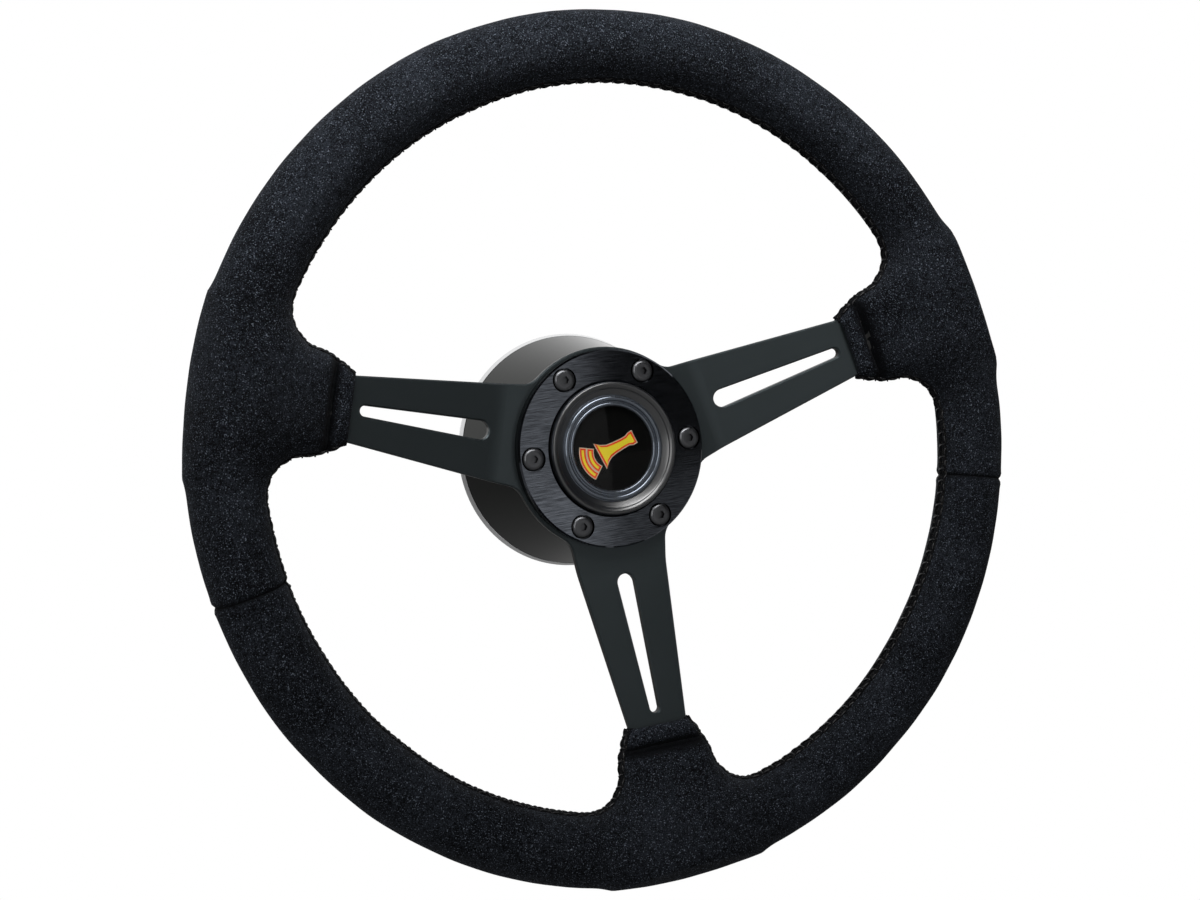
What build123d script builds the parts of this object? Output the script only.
from build123d import *
import math
import os

os.makedirs("parts", exist_ok=True)

# A dished three-spoke steering wheel on a quick release hub. All sizes are in millimetres.
# Origin: the mouth of the column bore, at the centre of the column hub's back face.
# +Y runs back along the steering column, away from the driver. +Z is twelve o'clock.

# Rim
RIM_Y = -84.0                # plane of the rim's centre line
RIM_DIAMETER = 350.0
GRIP_RADIUS = 13.9           # outside of the suede
RIM_RADIUS = RIM_DIAMETER / 2 - GRIP_RADIUS
CORE_RADIUS = 5.0            # steel tube inside the foam
CORE_WALL = 1.5
SUEDE = 1.3                  # thickness of the cover
SEAM_DROP = 12.0             # the cross seams lie this many degrees below horizontal

# Spokes, pressed from one plate
SPOKE_ANGLES = (15.0, 165.0, 270.0)
PLATE = 3.0
HUB_DISC_RADIUS = 42.5
DISH_ANGLE = 15.0            # the spokes rise towards the driver at this angle
BEND_START = 49.5            # distance from the axis to the first bend
BEND_RADIUS = 20.0           # on the driver's side
EDGE_BREAK = 0.6             # chamfer round the plate's outline and slots
SPOKE_HALF_ROOT = 20.3       # half width near the hub, at ROOT_AT
ROOT_AT = 47.0
SPOKE_HALF_TIP = 12.6        # half width where it enters the grip, at TIP_AT
TIP_AT = 115.3
SPOKE_FILLET = 9.0
SLOT_WIDE = (56.7, 3.85)     # distance from the axis and radius of the slot's wide end
SLOT_NARROW = (107.4, 2.1)

# The grip's ears along each spoke: distance from the axis, half width, half thickness
EAR_END = 113.5
HEM_WIDTH = 8.0
EAR_SECTIONS = (
    (112.5, 14.6, 5.0),
    (119.0, 17.8, 6.0),
    (131.0, 20.3, 8.8),
    (138.0, 25.5, 11.0),
    (145.0, 42.0, 12.4),
    (153.0, 44.0, 12.0),
)

# Bolt circle
BOLT_CIRCLE = 35.0           # radius: the six-bolt 70 mm pattern
BOLT_COUNT = 6
BOLT_RADIUS = 2.5            # M5
BOLT_HEAD_RADIUS = 4.8
BOLT_HEAD_HEIGHT = 2.75
BOLT_KEY = 3.0               # hexagon socket, across flats
BOLT_CLEARANCE = 0.15
BOLT_LENGTH = 11.0

# Stack along the axis, from the driver's side
RING_FRONT = -63.2
RING_THICK = 5.0
RING_RADIUS = 41.2
RING_BORE = 27.8
COUNTERBORE = 2.0            # depth of the counterbores under the bolt heads
PLATE_FRONT = RING_FRONT + RING_THICK
PLATE_BACK = PLATE_FRONT + PLATE
FLANGE_RADIUS = 41.0
FLANGE_BACK = PLATE_BACK + 5.5
POCKET_RADIUS = 26.0         # for the horn housing, through plate and flange
POCKET_BACK = -50.8
SOCKET_FLOOR = -48.7

# Quick release
NOSE_RADIUS = 21.98          # on the column hub
SOCKET_BORE = 22.05          # running fit on the nose
SOCKET_MOUTH = -17.0
NOSE_TIP = -44.0
SHOULDER = -16.5
HUB_RADIUS = 27.0
BALL_RADIUS = 4.0
BALL_COUNT = 6
BALL_Y = -32.0
BALL_OPEN = 26.3             # distance of a ball's centre from the axis, released
BALL_LOCKED = 24.95          # and locked
BALL_HOLE = 4.1
BALL_LIP = 3.25              # the hole narrows to this at the bore, so a ball can't fall in
BALL_LIP_TOP = 22.5
GROOVE_BOTTOM = 20.8
GROOVE_HALF = 1.7
SLEEVE_TRAVEL = 7.0
LAND_RADIUS = BALL_LOCKED + BALL_RADIUS + 0.15
SLEEVE_RADIUS = LAND_RADIUS - 0.1  # outside of the wheel socket, a running fit in the cam ring
RELIEF_RADIUS = 31.1
RAMP_SLOPE = 0.3
RAMP_START = BALL_Y - SLEEVE_TRAVEL + 0.15
RAMP_END = RAMP_START + (RELIEF_RADIUS - LAND_RADIUS) / RAMP_SLOPE
CAM_FRONT = -42.5
CAM_BACK = -27.0
CAM_RADIUS = 34.0
SPLINE_COUNT = 12
SPLINE_WIDTH = 5.0
SPLINE_RADIUS = 24.5
SPLINE_FRONT = -26.5
SNAP_FRONT = CAM_BACK + SLEEVE_TRAVEL
SNAP_THICK = 1.5
SNAP_SEAT = 27.9
SNAP_RADIUS = 32.6

# Release bell, the flared sleeve that the driver pulls
BELL_FRONT = -49.0
BELL_FRONT_RADIUS = 40.7
BELL_EDGE = -15.6            # where the cone ends, at a fine groove before the edge ring
BELL_EDGE_RADIUS = 50.2
BELL_WALL = 2.5
BELL_GROOVE_RADIUS = 49.5
LIP_FRONT = -15.1
LIP_FRONT_RADIUS = 50.4
LIP_RADIUS = 51.4
LIP_SEAT = 48.2
BELL_BACK = -11.8
SPIGOT_WALL = 1.6
BOSS_RADIUS = 36.6
BOSS_BACK = -24.0

# Column side
NUT_RADIUS = 15.0
NUT_SEAT = -24.0
SPINDLE_RADIUS = 9.6
SERRATION_TIP = 8.8
SERRATION_COUNT = 36
PILOT_LENGTH = 10.0

O_RING_Y = -39.9
O_RING_RADIUS = 21.15        # to the middle of its section
O_RING_SECTION = 0.8

# Horn contacts between the wheel and the column
WIRE_HOLE = 1.6              # radius of the hole that the horn stud's tail passes through
BOARD_BACK = -46.7
PAD_BACK = -46.3
CARRIER_BACK = -36.0
CARRIER_WALL = -42.5
PIN_PLACES = (6.0, -12.0)    # distance of each contact pin from the axis, along X
PIN_TIP = -46.2
PIN_RADIUS = 1.0
PIN_COLLAR = 1.7
PIN_COLLAR_FRONT = -42.4
PIN_TAIL = -37.0

# Horn button
BUTTON_RADIUS = 27.5
BUTTON_CREST = -66.1
BUTTON_SKIRT_BACK = -60.8
BUTTON_WEB_BACK = -59.8
BUTTON_TRAVEL = 2.5
BEZEL_RADIUS = 22.0
BEZEL_INNER = 17.6
HOUSING_FLOOR = -52.0
CONTACT_SEAT = -58.1
CONTACT_THICK = 0.45
STUD_TOP = CONTACT_SEAT + CONTACT_THICK + BUTTON_TRAVEL + 0.05
BEZEL_SEAT = -62.6
BEZEL_FLOOR = -63.8
BEZEL_RIDGES = ((18.4, 0.75), (20.7, 1.1))  # radius of each round ridge, and of its section
EMBLEM_SEAT = -61.8
LENS_RADIUS = 17.4
LENS_FRONT = -64.3
LENS_CURVE = 320.0           # radius of the clear dome's face
HOOK_FRONT = -56.2
HOOK_BACK = -55.0
HOOK_RADIUS = 24.95
SKIRT_RADIUS = 24.5
SKIRT_INNER = 23.4


def facing_driver(y):
    """A plane across the column at y, seen from the driver: local x is +X and local y is +Z."""
    return Plane(origin=(0, y, 0), x_dir=(1, 0, 0), z_dir=(0, -1, 0))


def spoke_direction(angle):
    """Unit vector from the axis along a spoke."""
    return (math.cos(math.radians(angle)), 0, math.sin(math.radians(angle)))


def across_direction(angle):
    """Unit vector across a spoke, in the plane of the wheel."""
    return (-math.sin(math.radians(angle)), 0, math.cos(math.radians(angle)))


def spoke_plan(angle, y=0.0):
    """Plane seen from the driver with local x along a spoke."""
    return Plane(origin=(0, y, 0), x_dir=spoke_direction(angle), z_dir=(0, -1, 0))


def spoke_side(angle):
    """Plane through the axis with local x along a spoke and local y along +Y."""
    return Plane(origin=(0, 0, 0), x_dir=spoke_direction(angle), z_dir=across_direction(angle))


def spoke_section(angle, distance, y):
    """Plane square to a spoke, at a distance from the axis."""
    along = spoke_direction(angle)
    origin = (distance * along[0], y, distance * along[2])
    return Plane(origin=origin, x_dir=across_direction(angle), z_dir=along)


def outline(*points):
    """Closed outline of (radius, y) points, to be turned about the column's axis."""
    with BuildSketch(Plane.XY) as section:
        with BuildLine():
            Polyline(*points, close=True)
        make_face()
    return section.sketch


def washer(inner, outer, front, back):
    """Outline of a plain ring."""
    return outline((inner, front), (outer, front), (outer, back), (inner, back))


def disc(radius, front, back):
    """Outline of a plain disc."""
    return washer(0, radius, front, back)


def torus_section(centre_radius, y, section_radius):
    """Round outline of a ring."""
    with BuildSketch(Plane.XY) as section:
        with Locations((centre_radius, y)):
            Circle(section_radius)
    return section.sketch


def dish_y(distance):
    """Middle of the spoke plate at a distance from the axis, where it rises to the rim's plane."""
    rise = (distance - BEND_START) * math.tan(math.radians(DISH_ANGLE))
    return max(PLATE_FRONT + PLATE / 2 - rise, RIM_Y)


def save(piece, name):
    """Labels a finished piece and writes it."""
    piece.part.label = name
    export_step(piece.part, f"parts/{name}.step")


# ---------------------------------------------------------------- spoke frame
# One pressed plate: a flat hub disc, and three arms that rise 15 degrees and end flat on the core.

FRONT_TAB = RIM_Y - PLATE / 2
TAB_START = BEND_START + (PLATE_FRONT - FRONT_TAB) / math.tan(math.radians(DISH_ANGLE))
BEND_SHIFT = PLATE * math.tan(math.radians(DISH_ANGLE / 2))
TAB_END = RIM_RADIUS
ARM_TAPER = (SPOKE_HALF_ROOT - SPOKE_HALF_TIP) / (TIP_AT - ROOT_AT)


def arm_half_width(distance):
    """Half width of a spoke at a distance from the axis."""
    return SPOKE_HALF_ROOT - ARM_TAPER * (distance - ROOT_AT)


def driver_side_outline(plate):
    """Edges round the outline and the slots on the driver's side, outside the trim ring."""
    fronts = [face for face in plate.faces() if face.normal_at(face.center()).Y < -0.9]
    sides = [face for face in plate.faces() if abs(face.normal_at(face.center()).Y) < 0.3]
    side_edges = {edge for side in sides for edge in side.edges()}
    outline_edges = []
    for edge in [edge for front in fronts for edge in front.edges()]:
        middle = edge.position_at(0.5)
        if edge in side_edges and RING_RADIUS < math.hypot(middle.X, middle.Z) < EAR_SECTIONS[3][0]:
            outline_edges.append(edge)
    return outline_edges


with BuildPart() as spoke_frame:
    with BuildSketch(facing_driver(PLATE_BACK)):
        Circle(BEND_START)
    extrude(amount=PLATE)
    for spoke_angle in SPOKE_ANGLES:
        with BuildSketch(spoke_side(spoke_angle)) as side:
            with BuildLine():
                Polyline(
                    (0, PLATE_FRONT),
                    (BEND_START, PLATE_FRONT),
                    (TAB_START, FRONT_TAB),
                    (TAB_END, FRONT_TAB),
                    (TAB_END, FRONT_TAB + PLATE),
                    (TAB_START + BEND_SHIFT, FRONT_TAB + PLATE),
                    (BEND_START + BEND_SHIFT, PLATE_BACK),
                    (0, PLATE_BACK),
                    close=True,
                )
            make_face()
            front_bend = (BEND_START, PLATE_FRONT, 0)
            fillet(side.vertices().sort_by_distance(front_bend)[0], BEND_RADIUS)
            back_bend = (BEND_START + BEND_SHIFT, PLATE_BACK, 0)
            fillet(side.vertices().sort_by_distance(back_bend)[0], BEND_RADIUS + PLATE)
        extrude(amount=SPOKE_HALF_ROOT + 2, both=True)
    with BuildSketch(facing_driver(0)) as plan:
        Circle(HUB_DISC_RADIUS)
        for spoke_angle in SPOKE_ANGLES:
            with BuildSketch(mode=Mode.PRIVATE) as arm:
                with BuildLine():
                    Polyline(
                        (0, arm_half_width(0)),
                        (TAB_END, arm_half_width(TAB_END)),
                        (TAB_END, -arm_half_width(TAB_END)),
                        (0, -arm_half_width(0)),
                        close=True,
                    )
                make_face()
            add(arm.sketch, rotation=spoke_angle)
        corners = plan.vertices().filter_by(
            lambda v: math.hypot(v.X, v.Y) < HUB_DISC_RADIUS + 1
        )
        fillet(corners, SPOKE_FILLET)
        Circle(POCKET_RADIUS, mode=Mode.SUBTRACT)
        with PolarLocations(BOLT_CIRCLE, BOLT_COUNT):
            Circle(BOLT_RADIUS + BOLT_CLEARANCE, mode=Mode.SUBTRACT)
    extrude(amount=-RIM_Y * 2, mode=Mode.INTERSECT)
    for spoke_angle in SPOKE_ANGLES:
        with BuildSketch(spoke_plan(spoke_angle)):
            with Locations((SLOT_WIDE[0], 0)):
                Circle(SLOT_WIDE[1])
            with Locations((SLOT_NARROW[0], 0)):
                Circle(SLOT_NARROW[1])
            make_hull()
        extrude(amount=-RIM_Y * 2, mode=Mode.SUBTRACT)
    revolve(torus_section(RIM_RADIUS, RIM_Y, CORE_RADIUS), axis=Axis.Y, mode=Mode.SUBTRACT)
    chamfer(driver_side_outline(spoke_frame), EDGE_BREAK)
save(spoke_frame, "spoke_frame")

# ---------------------------------------------------------------- rim
# A steel tube, moulded foam with an ear along each spoke, and a suede cover in two panels.

with BuildPart() as rim_core:
    revolve(torus_section(RIM_RADIUS, RIM_Y, CORE_RADIUS), axis=Axis.Y)
    revolve(torus_section(RIM_RADIUS, RIM_Y, CORE_RADIUS - CORE_WALL), axis=Axis.Y, mode=Mode.SUBTRACT)
save(rim_core, "rim_core")


def grip_body(cover):
    """The solid of the grip, a cover's thickness below the outside of the suede."""
    with BuildPart() as body:
        revolve(torus_section(RIM_RADIUS, RIM_Y, GRIP_RADIUS - cover), axis=Axis.Y)
        for angle in SPOKE_ANGLES:
            for distance, half_width, half_thick in EAR_SECTIONS:
                with BuildSketch(spoke_section(angle, distance, dish_y(distance))):
                    Ellipse(half_width - cover, half_thick - cover)
            loft()
        for angle in SPOKE_ANGLES:
            with BuildSketch(spoke_plan(angle, 0)):
                with Locations((EAR_END / 2, 0)):
                    Rectangle(EAR_END, 2 * GRIP_RADIUS * 2)
            extrude(amount=-RIM_Y * 2, mode=Mode.SUBTRACT)
    return body.part


def hem_zone(angle):
    """A block that holds the last few millimetres of the cover on one ear."""
    with BuildPart() as zone:
        with BuildSketch(spoke_plan(angle, 0)):
            with Locations((EAR_END + HEM_WIDTH / 2, 0)):
                Rectangle(HEM_WIDTH, 4 * GRIP_RADIUS)
        extrude(amount=-RIM_Y * 2)
    return zone.part


with BuildPart() as rim_foam:
    add(grip_body(SUEDE))
    revolve(torus_section(RIM_RADIUS, RIM_Y, CORE_RADIUS), axis=Axis.Y, mode=Mode.SUBTRACT)
    add(spoke_frame.part, mode=Mode.SUBTRACT)
save(rim_foam, "rim_foam")

with BuildPart() as cover:
    add(grip_body(0))
    add(grip_body(SUEDE), mode=Mode.SUBTRACT)

for hem_name, spoke_angle in zip(("hem_right", "hem_left", "hem_bottom"), SPOKE_ANGLES):
    with BuildPart() as hem:
        add(cover.part)
        add(hem_zone(spoke_angle), mode=Mode.INTERSECT)
    save(hem, hem_name)

FAR = RIM_DIAMETER
SEAM_FALL = FAR * math.tan(math.radians(SEAM_DROP))

with BuildPart() as below_seams:
    with BuildSketch(facing_driver(0)):
        with BuildLine():
            Polyline((0, 0), (FAR, -SEAM_FALL), (FAR, -FAR), (-FAR, -FAR), (-FAR, -SEAM_FALL), close=True)
        make_face()
    extrude(amount=-RIM_Y * 2)

with BuildPart() as panels:
    add(cover.part)
    for spoke_angle in SPOKE_ANGLES:
        add(hem_zone(spoke_angle), mode=Mode.SUBTRACT)

with BuildPart() as wrap_upper:
    add(panels.part)
    add(below_seams.part, mode=Mode.SUBTRACT)
save(wrap_upper, "wrap_upper")

with BuildPart() as wrap_lower:
    add(panels.part)
    add(below_seams.part, mode=Mode.INTERSECT)
save(wrap_lower, "wrap_lower")

# ---------------------------------------------------------------- hub trim ring and its bolts

with BuildPart() as hub_trim_ring:
    revolve(washer(RING_BORE, RING_RADIUS, RING_FRONT, PLATE_FRONT), axis=Axis.Y)
    front_edges = hub_trim_ring.faces().sort_by(Axis.Y)[0].edges()
    chamfer(front_edges, 0.7)
    with BuildSketch(facing_driver(PLATE_FRONT)):
        with PolarLocations(BOLT_CIRCLE, BOLT_COUNT):
            Circle(BOLT_RADIUS + BOLT_CLEARANCE)
    extrude(amount=RING_THICK, mode=Mode.SUBTRACT)
    with BuildSketch(facing_driver(RING_FRONT + COUNTERBORE)):
        with PolarLocations(BOLT_CIRCLE, BOLT_COUNT):
            Circle(BOLT_HEAD_RADIUS + 0.35)
    extrude(amount=COUNTERBORE, mode=Mode.SUBTRACT)
save(hub_trim_ring, "hub_trim_ring")

HEAD_SEAT = RING_FRONT + COUNTERBORE

with BuildPart() as ring_bolts:
    with BuildSketch(facing_driver(HEAD_SEAT)):
        with PolarLocations(BOLT_CIRCLE, BOLT_COUNT):
            Circle(BOLT_HEAD_RADIUS)
    extrude(amount=BOLT_HEAD_HEIGHT)
    rims = ring_bolts.faces().filter_by(Axis.Y).group_by(Axis.Y)[0].edges()
    fillet(rims, 1.9)
    with BuildSketch(facing_driver(HEAD_SEAT + BOLT_LENGTH)):
        with PolarLocations(BOLT_CIRCLE, BOLT_COUNT):
            Circle(BOLT_RADIUS)
    extrude(amount=BOLT_LENGTH)
    with BuildSketch(facing_driver(HEAD_SEAT - BOLT_HEAD_HEIGHT)):
        with PolarLocations(BOLT_CIRCLE, BOLT_COUNT):
            RegularPolygon(BOLT_KEY / 2, 6, major_radius=False)
    extrude(amount=-BOLT_HEAD_HEIGHT * 0.6, mode=Mode.SUBTRACT)
save(ring_bolts, "ring_bolts")

# ---------------------------------------------------------------- wheel socket
# The flange behind the plate, and the sleeve that slides over the column hub's nose.

with BuildPart() as wheel_socket:
    revolve(
        outline(
            (WIRE_HOLE, POCKET_BACK),
            (POCKET_RADIUS, POCKET_BACK),
            (POCKET_RADIUS, PLATE_BACK),
            (FLANGE_RADIUS, PLATE_BACK),
            (FLANGE_RADIUS, FLANGE_BACK),
            (SLEEVE_RADIUS, FLANGE_BACK),
            (SLEEVE_RADIUS, SOCKET_MOUTH),
            (SOCKET_BORE, SOCKET_MOUTH),
            (SOCKET_BORE, SOCKET_FLOOR),
            (WIRE_HOLE, SOCKET_FLOOR),
        ),
        axis=Axis.Y,
    )
    with BuildSketch(facing_driver(FLANGE_BACK)):
        with PolarLocations(BOLT_CIRCLE, BOLT_COUNT):
            Circle(BOLT_RADIUS + 0.05)
    extrude(amount=FLANGE_BACK - PLATE_BACK, mode=Mode.SUBTRACT)
    with BuildSketch(facing_driver(SOCKET_MOUTH)):
        with PolarLocations((SPLINE_RADIUS + 0.1) / 2, SPLINE_COUNT):
            Rectangle(SPLINE_RADIUS + 0.1, SPLINE_WIDTH + 0.1)
    extrude(amount=SOCKET_MOUTH - SPLINE_FRONT + 0.6, mode=Mode.SUBTRACT)
    for ball_index in range(BALL_COUNT):
        ball_angle = 360 / BALL_COUNT * ball_index
        with BuildSketch(spoke_section(ball_angle, BALL_LIP_TOP, BALL_Y)):
            Circle(BALL_HOLE)
        extrude(amount=SLEEVE_RADIUS, mode=Mode.SUBTRACT)
        with BuildSketch(spoke_section(ball_angle, BALL_LIP_TOP, BALL_Y)):
            Circle(BALL_LIP)
        extrude(amount=-BALL_LIP_TOP / 2, mode=Mode.SUBTRACT)
    revolve(
        washer(SNAP_SEAT, SLEEVE_RADIUS + 1, SNAP_FRONT, SNAP_FRONT + SNAP_THICK),
        axis=Axis.Y,
        mode=Mode.SUBTRACT,
    )
save(wheel_socket, "wheel_socket")

with BuildPart() as sleeve_snap_ring:
    revolve(washer(SNAP_SEAT, SNAP_RADIUS, SNAP_FRONT, SNAP_FRONT + SNAP_THICK), axis=Axis.Y)
    with BuildSketch(facing_driver(SNAP_FRONT + SNAP_THICK)):
        with Locations((0, -SNAP_RADIUS + 2)):
            Rectangle(8, 12)
    extrude(amount=SNAP_THICK, mode=Mode.SUBTRACT)
save(sleeve_snap_ring, "sleeve_snap_ring")

# ---------------------------------------------------------------- release bell
# A flared sleeve: a cone outside, a boss round the cam ring inside, and a bright edge ring.

with BuildPart() as release_bell:
    revolve(
        outline(
            (CAM_RADIUS, BELL_FRONT),
            (BELL_FRONT_RADIUS, BELL_FRONT),
            (BELL_EDGE_RADIUS, BELL_EDGE),
            (BELL_GROOVE_RADIUS, BELL_EDGE),
            (BELL_GROOVE_RADIUS, LIP_FRONT),
            (LIP_SEAT, LIP_FRONT),
            (LIP_SEAT, BELL_BACK),
            (LIP_SEAT - SPIGOT_WALL, BELL_BACK),
            (LIP_SEAT - SPIGOT_WALL, BELL_EDGE - 2),
            (BELL_FRONT_RADIUS - BELL_WALL + 1, BELL_FRONT + BELL_WALL),
            (BOSS_RADIUS, BELL_FRONT + BELL_WALL),
            (BOSS_RADIUS, BOSS_BACK),
            (CAM_RADIUS, BOSS_BACK),
        ),
        axis=Axis.Y,
    )
save(release_bell, "release_bell")

with BuildPart() as bell_edge_ring:
    revolve(
        outline(
            (LIP_SEAT, LIP_FRONT),
            (LIP_FRONT_RADIUS, LIP_FRONT),
            (LIP_RADIUS, LIP_FRONT + 2.2),
            (LIP_RADIUS, BELL_BACK),
            (LIP_SEAT, BELL_BACK),
        ),
        axis=Axis.Y,
    )
    outer_edges = bell_edge_ring.edges().filter_by(GeomType.CIRCLE).sort_by(SortBy.RADIUS)[-2:]
    fillet(outer_edges, 0.5)
save(bell_edge_ring, "bell_edge_ring")

with BuildPart() as cam_ring:
    revolve(
        outline(
            (LAND_RADIUS, CAM_FRONT),
            (CAM_RADIUS, CAM_FRONT),
            (CAM_RADIUS, CAM_BACK),
            (RELIEF_RADIUS, CAM_BACK),
            (RELIEF_RADIUS, RAMP_END),
            (LAND_RADIUS, RAMP_START),
        ),
        axis=Axis.Y,
    )
save(cam_ring, "cam_ring")

for ball_index in range(BALL_COUNT):
    ball_direction = spoke_direction(360 / BALL_COUNT * ball_index)
    with BuildPart() as lock_ball:
        with Locations((BALL_OPEN * ball_direction[0], BALL_Y, BALL_OPEN * ball_direction[2])):
            Sphere(BALL_RADIUS)
    save(lock_ball, f"lock_ball_{ball_index + 1}")


def coil(places, centre_radius, wire, front, back, turns):
    """Round-wire compression springs along the column, one at each place on the X axis."""
    pitch = (back - front - wire) / turns
    with BuildPart() as spring:
        for place in places:
            with BuildLine() as path:
                Helix(
                    pitch=pitch,
                    height=back - front - wire,
                    radius=centre_radius,
                    center=(place, front + wire / 2, 0),
                    direction=(0, 1, 0),
                )
            with BuildSketch(Plane(origin=path.line @ 0, z_dir=path.line % 0)):
                Circle(wire / 2)
            sweep(path=path.line, is_frenet=True)
    return spring


release_spring = coil((0,), 31.4, 1.4, FLANGE_BACK + 0.05, CAM_FRONT - 0.05, 3)
save(release_spring, "release_spring")

# ---------------------------------------------------------------- column hub
# The half that stays on the car: a splined and grooved nose, bored for the column and its nut.


def serration_points():
    """Corners of the serrated bore, tips and roots in turn."""
    points = []
    for step in range(2 * SERRATION_COUNT):
        radius = SPINDLE_RADIUS if step % 2 == 0 else SERRATION_TIP
        turn = math.pi * step / SERRATION_COUNT
        points.append((radius * math.cos(turn), radius * math.sin(turn)))
    return points


with BuildPart() as column_hub:
    revolve(
        outline(
            (0, NOSE_TIP),
            (NOSE_RADIUS - 1, NOSE_TIP),
            (NOSE_RADIUS, NOSE_TIP + 1.5),
            (NOSE_RADIUS, SHOULDER),
            (HUB_RADIUS, SHOULDER),
            (HUB_RADIUS, -1),
            (HUB_RADIUS - 1, 0),
            (0, 0),
        ),
        axis=Axis.Y,
    )
    with BuildSketch(facing_driver(SHOULDER)):
        with PolarLocations(SPLINE_RADIUS / 2, SPLINE_COUNT):
            Rectangle(SPLINE_RADIUS, SPLINE_WIDTH)
    extrude(amount=SHOULDER - SPLINE_FRONT)
    groove_depth = NOSE_RADIUS + 1 - GROOVE_BOTTOM
    revolve(
        outline(
            (GROOVE_BOTTOM, BALL_Y - GROOVE_HALF),
            (GROOVE_BOTTOM, BALL_Y + GROOVE_HALF),
            (GROOVE_BOTTOM + groove_depth, BALL_Y + GROOVE_HALF + groove_depth),
            (GROOVE_BOTTOM + groove_depth, BALL_Y - GROOVE_HALF - groove_depth),
        ),
        axis=Axis.Y,
        mode=Mode.SUBTRACT,
    )
    revolve(
        washer(
            O_RING_RADIUS - O_RING_SECTION,
            NOSE_RADIUS + 1,
            O_RING_Y - O_RING_SECTION - 0.2,
            O_RING_Y + O_RING_SECTION + 0.2,
        ),
        axis=Axis.Y,
        mode=Mode.SUBTRACT,
    )
    with BuildSketch(facing_driver(NUT_SEAT)):
        Circle(NUT_RADIUS)
    extrude(amount=NUT_SEAT - NOSE_TIP, mode=Mode.SUBTRACT)
    with BuildSketch(facing_driver(0)):
        Circle(SPINDLE_RADIUS)
    extrude(amount=PILOT_LENGTH, mode=Mode.SUBTRACT)
    with BuildSketch(facing_driver(-PILOT_LENGTH)):
        with BuildLine():
            Polyline(*serration_points(), close=True)
        make_face()
    extrude(amount=-NUT_SEAT - PILOT_LENGTH, mode=Mode.SUBTRACT)
save(column_hub, "column_hub")

with BuildPart() as nose_o_ring:
    revolve(torus_section(O_RING_RADIUS, O_RING_Y, O_RING_SECTION), axis=Axis.Y)
save(nose_o_ring, "nose_o_ring")

# ---------------------------------------------------------------- horn contacts
# A pin carrier in the nose, two sprung pins, and a board in the wheel socket that they touch.

with BuildPart() as contact_board:
    revolve(washer(WIRE_HOLE, SOCKET_BORE - 0.15, SOCKET_FLOOR, BOARD_BACK), axis=Axis.Y)
save(contact_board, "contact_board")

with BuildPart() as contact_pad:
    revolve(disc(7.5, BOARD_BACK, PAD_BACK), axis=Axis.Y)
save(contact_pad, "contact_pad")

with BuildPart() as contact_ring:
    revolve(washer(10.5, 13.5, BOARD_BACK, PAD_BACK), axis=Axis.Y)
save(contact_ring, "contact_ring")

with BuildPart() as pin_carrier:
    revolve(disc(NUT_RADIUS - 0.05, NOSE_TIP, CARRIER_BACK), axis=Axis.Y)
    with BuildSketch(facing_driver(CARRIER_BACK)):
        with Locations(*[(place, 0) for place in PIN_PLACES]):
            Circle(PIN_COLLAR + 0.2)
    extrude(amount=CARRIER_BACK - CARRIER_WALL, mode=Mode.SUBTRACT)
    with BuildSketch(facing_driver(CARRIER_WALL)):
        with Locations(*[(place, 0) for place in PIN_PLACES]):
            Circle(PIN_RADIUS + 0.1)
    extrude(amount=CARRIER_WALL - NOSE_TIP, mode=Mode.SUBTRACT)
save(pin_carrier, "pin_carrier")

with BuildPart() as pin_carrier_cap:
    revolve(disc(NUT_RADIUS - 0.05, CARRIER_BACK, CARRIER_BACK + 1.5), axis=Axis.Y)
    with BuildSketch(facing_driver(CARRIER_BACK + 1.5)):
        with Locations(*[(place, 0) for place in PIN_PLACES]):
            Circle(PIN_RADIUS + 0.1)
    extrude(amount=1.5, mode=Mode.SUBTRACT)
save(pin_carrier_cap, "pin_carrier_cap")

for pin_index, pin_place in enumerate(PIN_PLACES):
    with BuildPart() as contact_pin:
        with BuildSketch(facing_driver(PIN_TAIL)):
            with Locations((pin_place, 0)):
                Circle(PIN_RADIUS)
        extrude(amount=PIN_TAIL - PIN_TIP)
        chamfer(contact_pin.faces().sort_by(Axis.Y)[0].edges(), 0.35)
        with BuildSketch(facing_driver(PIN_COLLAR_FRONT + 1)):
            with Locations((pin_place, 0)):
                Circle(PIN_COLLAR)
        extrude(amount=1)
    save(contact_pin, f"contact_pin_{pin_index + 1}")

pin_springs = coil(PIN_PLACES, 1.42, 0.25, PIN_COLLAR_FRONT + 1.03, CARRIER_BACK - 0.02, 5)
save(pin_springs, "pin_springs")

# ---------------------------------------------------------------- horn button
# A dished cap with a snap skirt in a cup, a bezel, an emblem plate under a clear lens, a spring.

with BuildPart() as horn_housing:
    revolve(
        outline(
            (WIRE_HOLE, HOUSING_FLOOR),
            (25.3, HOUSING_FLOOR),
            (25.3, PLATE_FRONT + 1.4),
            (24.7, PLATE_FRONT + 1.4),
            (24.7, PLATE_FRONT),
            (POCKET_RADIUS - 0.05, PLATE_FRONT),
            (POCKET_RADIUS - 0.05, POCKET_BACK),
            (WIRE_HOLE, POCKET_BACK),
        ),
        axis=Axis.Y,
    )
save(horn_housing, "horn_housing")

with BuildPart() as horn_contact_stud:
    revolve(
        outline(
            (0, STUD_TOP),
            (4.0, STUD_TOP),
            (4.0, HOUSING_FLOOR),
            (1.5, HOUSING_FLOOR),
            (1.5, BOARD_BACK),
            (0, BOARD_BACK),
        ),
        axis=Axis.Y,
    )
save(horn_contact_stud, "horn_contact_stud")

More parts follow.
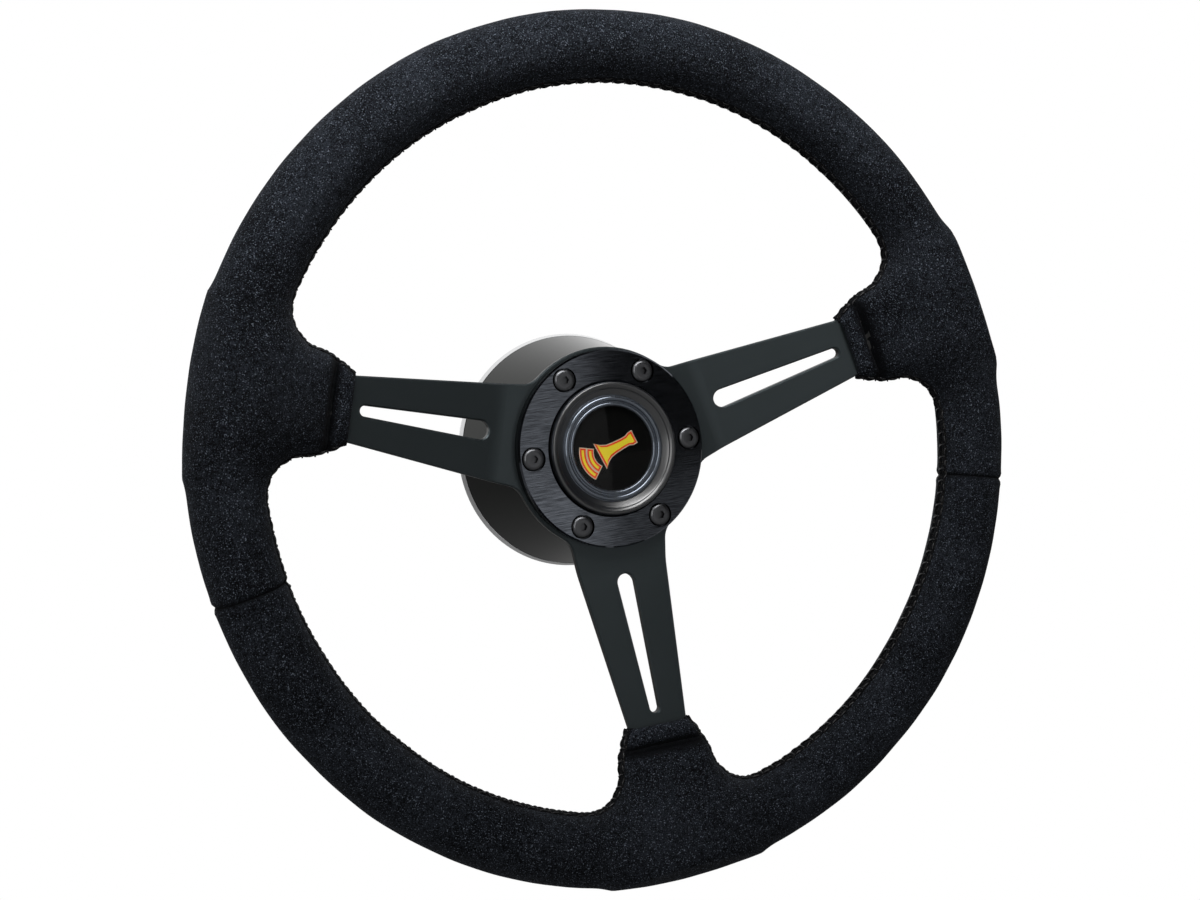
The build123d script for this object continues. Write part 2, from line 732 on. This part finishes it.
with BuildPart() as button_cap:
    with BuildSketch(Plane.XY):
        with BuildLine():
            Line((BUTTON_RADIUS, BUTTON_SKIRT_BACK), (BUTTON_RADIUS, BUTTON_CREST + 1.4))
            Spline(
                (BUTTON_RADIUS, BUTTON_CREST + 1.4),
                (BUTTON_RADIUS - 1.2, BUTTON_CREST),
                (BUTTON_RADIUS - 2.6, BUTTON_CREST + 0.75),
                (BEZEL_RADIUS, BUTTON_CREST + 2.5),
                tangents=((0, -1), (-1, 0.45)),
            )
            Polyline(
                (BEZEL_RADIUS, BUTTON_CREST + 2.5),
                (BEZEL_RADIUS, BEZEL_SEAT),
                (BEZEL_INNER, BEZEL_SEAT),
                (BEZEL_INNER, EMBLEM_SEAT),
                (0, EMBLEM_SEAT),
                (0, CONTACT_SEAT),
                (6, CONTACT_SEAT),
                (6, BUTTON_WEB_BACK),
                (SKIRT_INNER, BUTTON_WEB_BACK),
                (SKIRT_INNER, HOOK_BACK),
                (HOOK_RADIUS, HOOK_BACK),
                (HOOK_RADIUS, HOOK_FRONT),
                (SKIRT_RADIUS, HOOK_FRONT),
                (SKIRT_RADIUS, BUTTON_SKIRT_BACK),
                (BUTTON_RADIUS, BUTTON_SKIRT_BACK),
            )
        make_face()
    revolve(axis=Axis.Y)
save(button_cap, "button_cap")

with BuildPart() as button_bezel:
    revolve(washer(BEZEL_INNER, BEZEL_RADIUS, BEZEL_FLOOR, BEZEL_SEAT), axis=Axis.Y)
    for ridge_radius, section_radius in BEZEL_RIDGES:
        revolve(torus_section(ridge_radius, BEZEL_FLOOR, section_radius), axis=Axis.Y)
save(button_bezel, "button_bezel")

with BuildPart() as emblem_plate:
    revolve(disc(BEZEL_INNER - 0.05, BEZEL_SEAT, EMBLEM_SEAT), axis=Axis.Y)
save(emblem_plate, "emblem_plate")

with BuildPart() as emblem_lens:
    revolve(disc(LENS_RADIUS, LENS_FRONT, BEZEL_SEAT), axis=Axis.Y)
    with Locations((0, LENS_FRONT + LENS_CURVE, 0)):
        Sphere(LENS_CURVE, mode=Mode.INTERSECT)
save(emblem_lens, "emblem_lens")

with BuildPart() as moving_contact:
    revolve(disc(4.5, CONTACT_SEAT, CONTACT_SEAT + CONTACT_THICK), axis=Axis.Y)
save(moving_contact, "moving_contact")

horn_spring = coil((0,), 12, 1.2, BUTTON_WEB_BACK + 0.05, HOUSING_FLOOR - 0.05, 3)
save(horn_spring, "horn_spring")
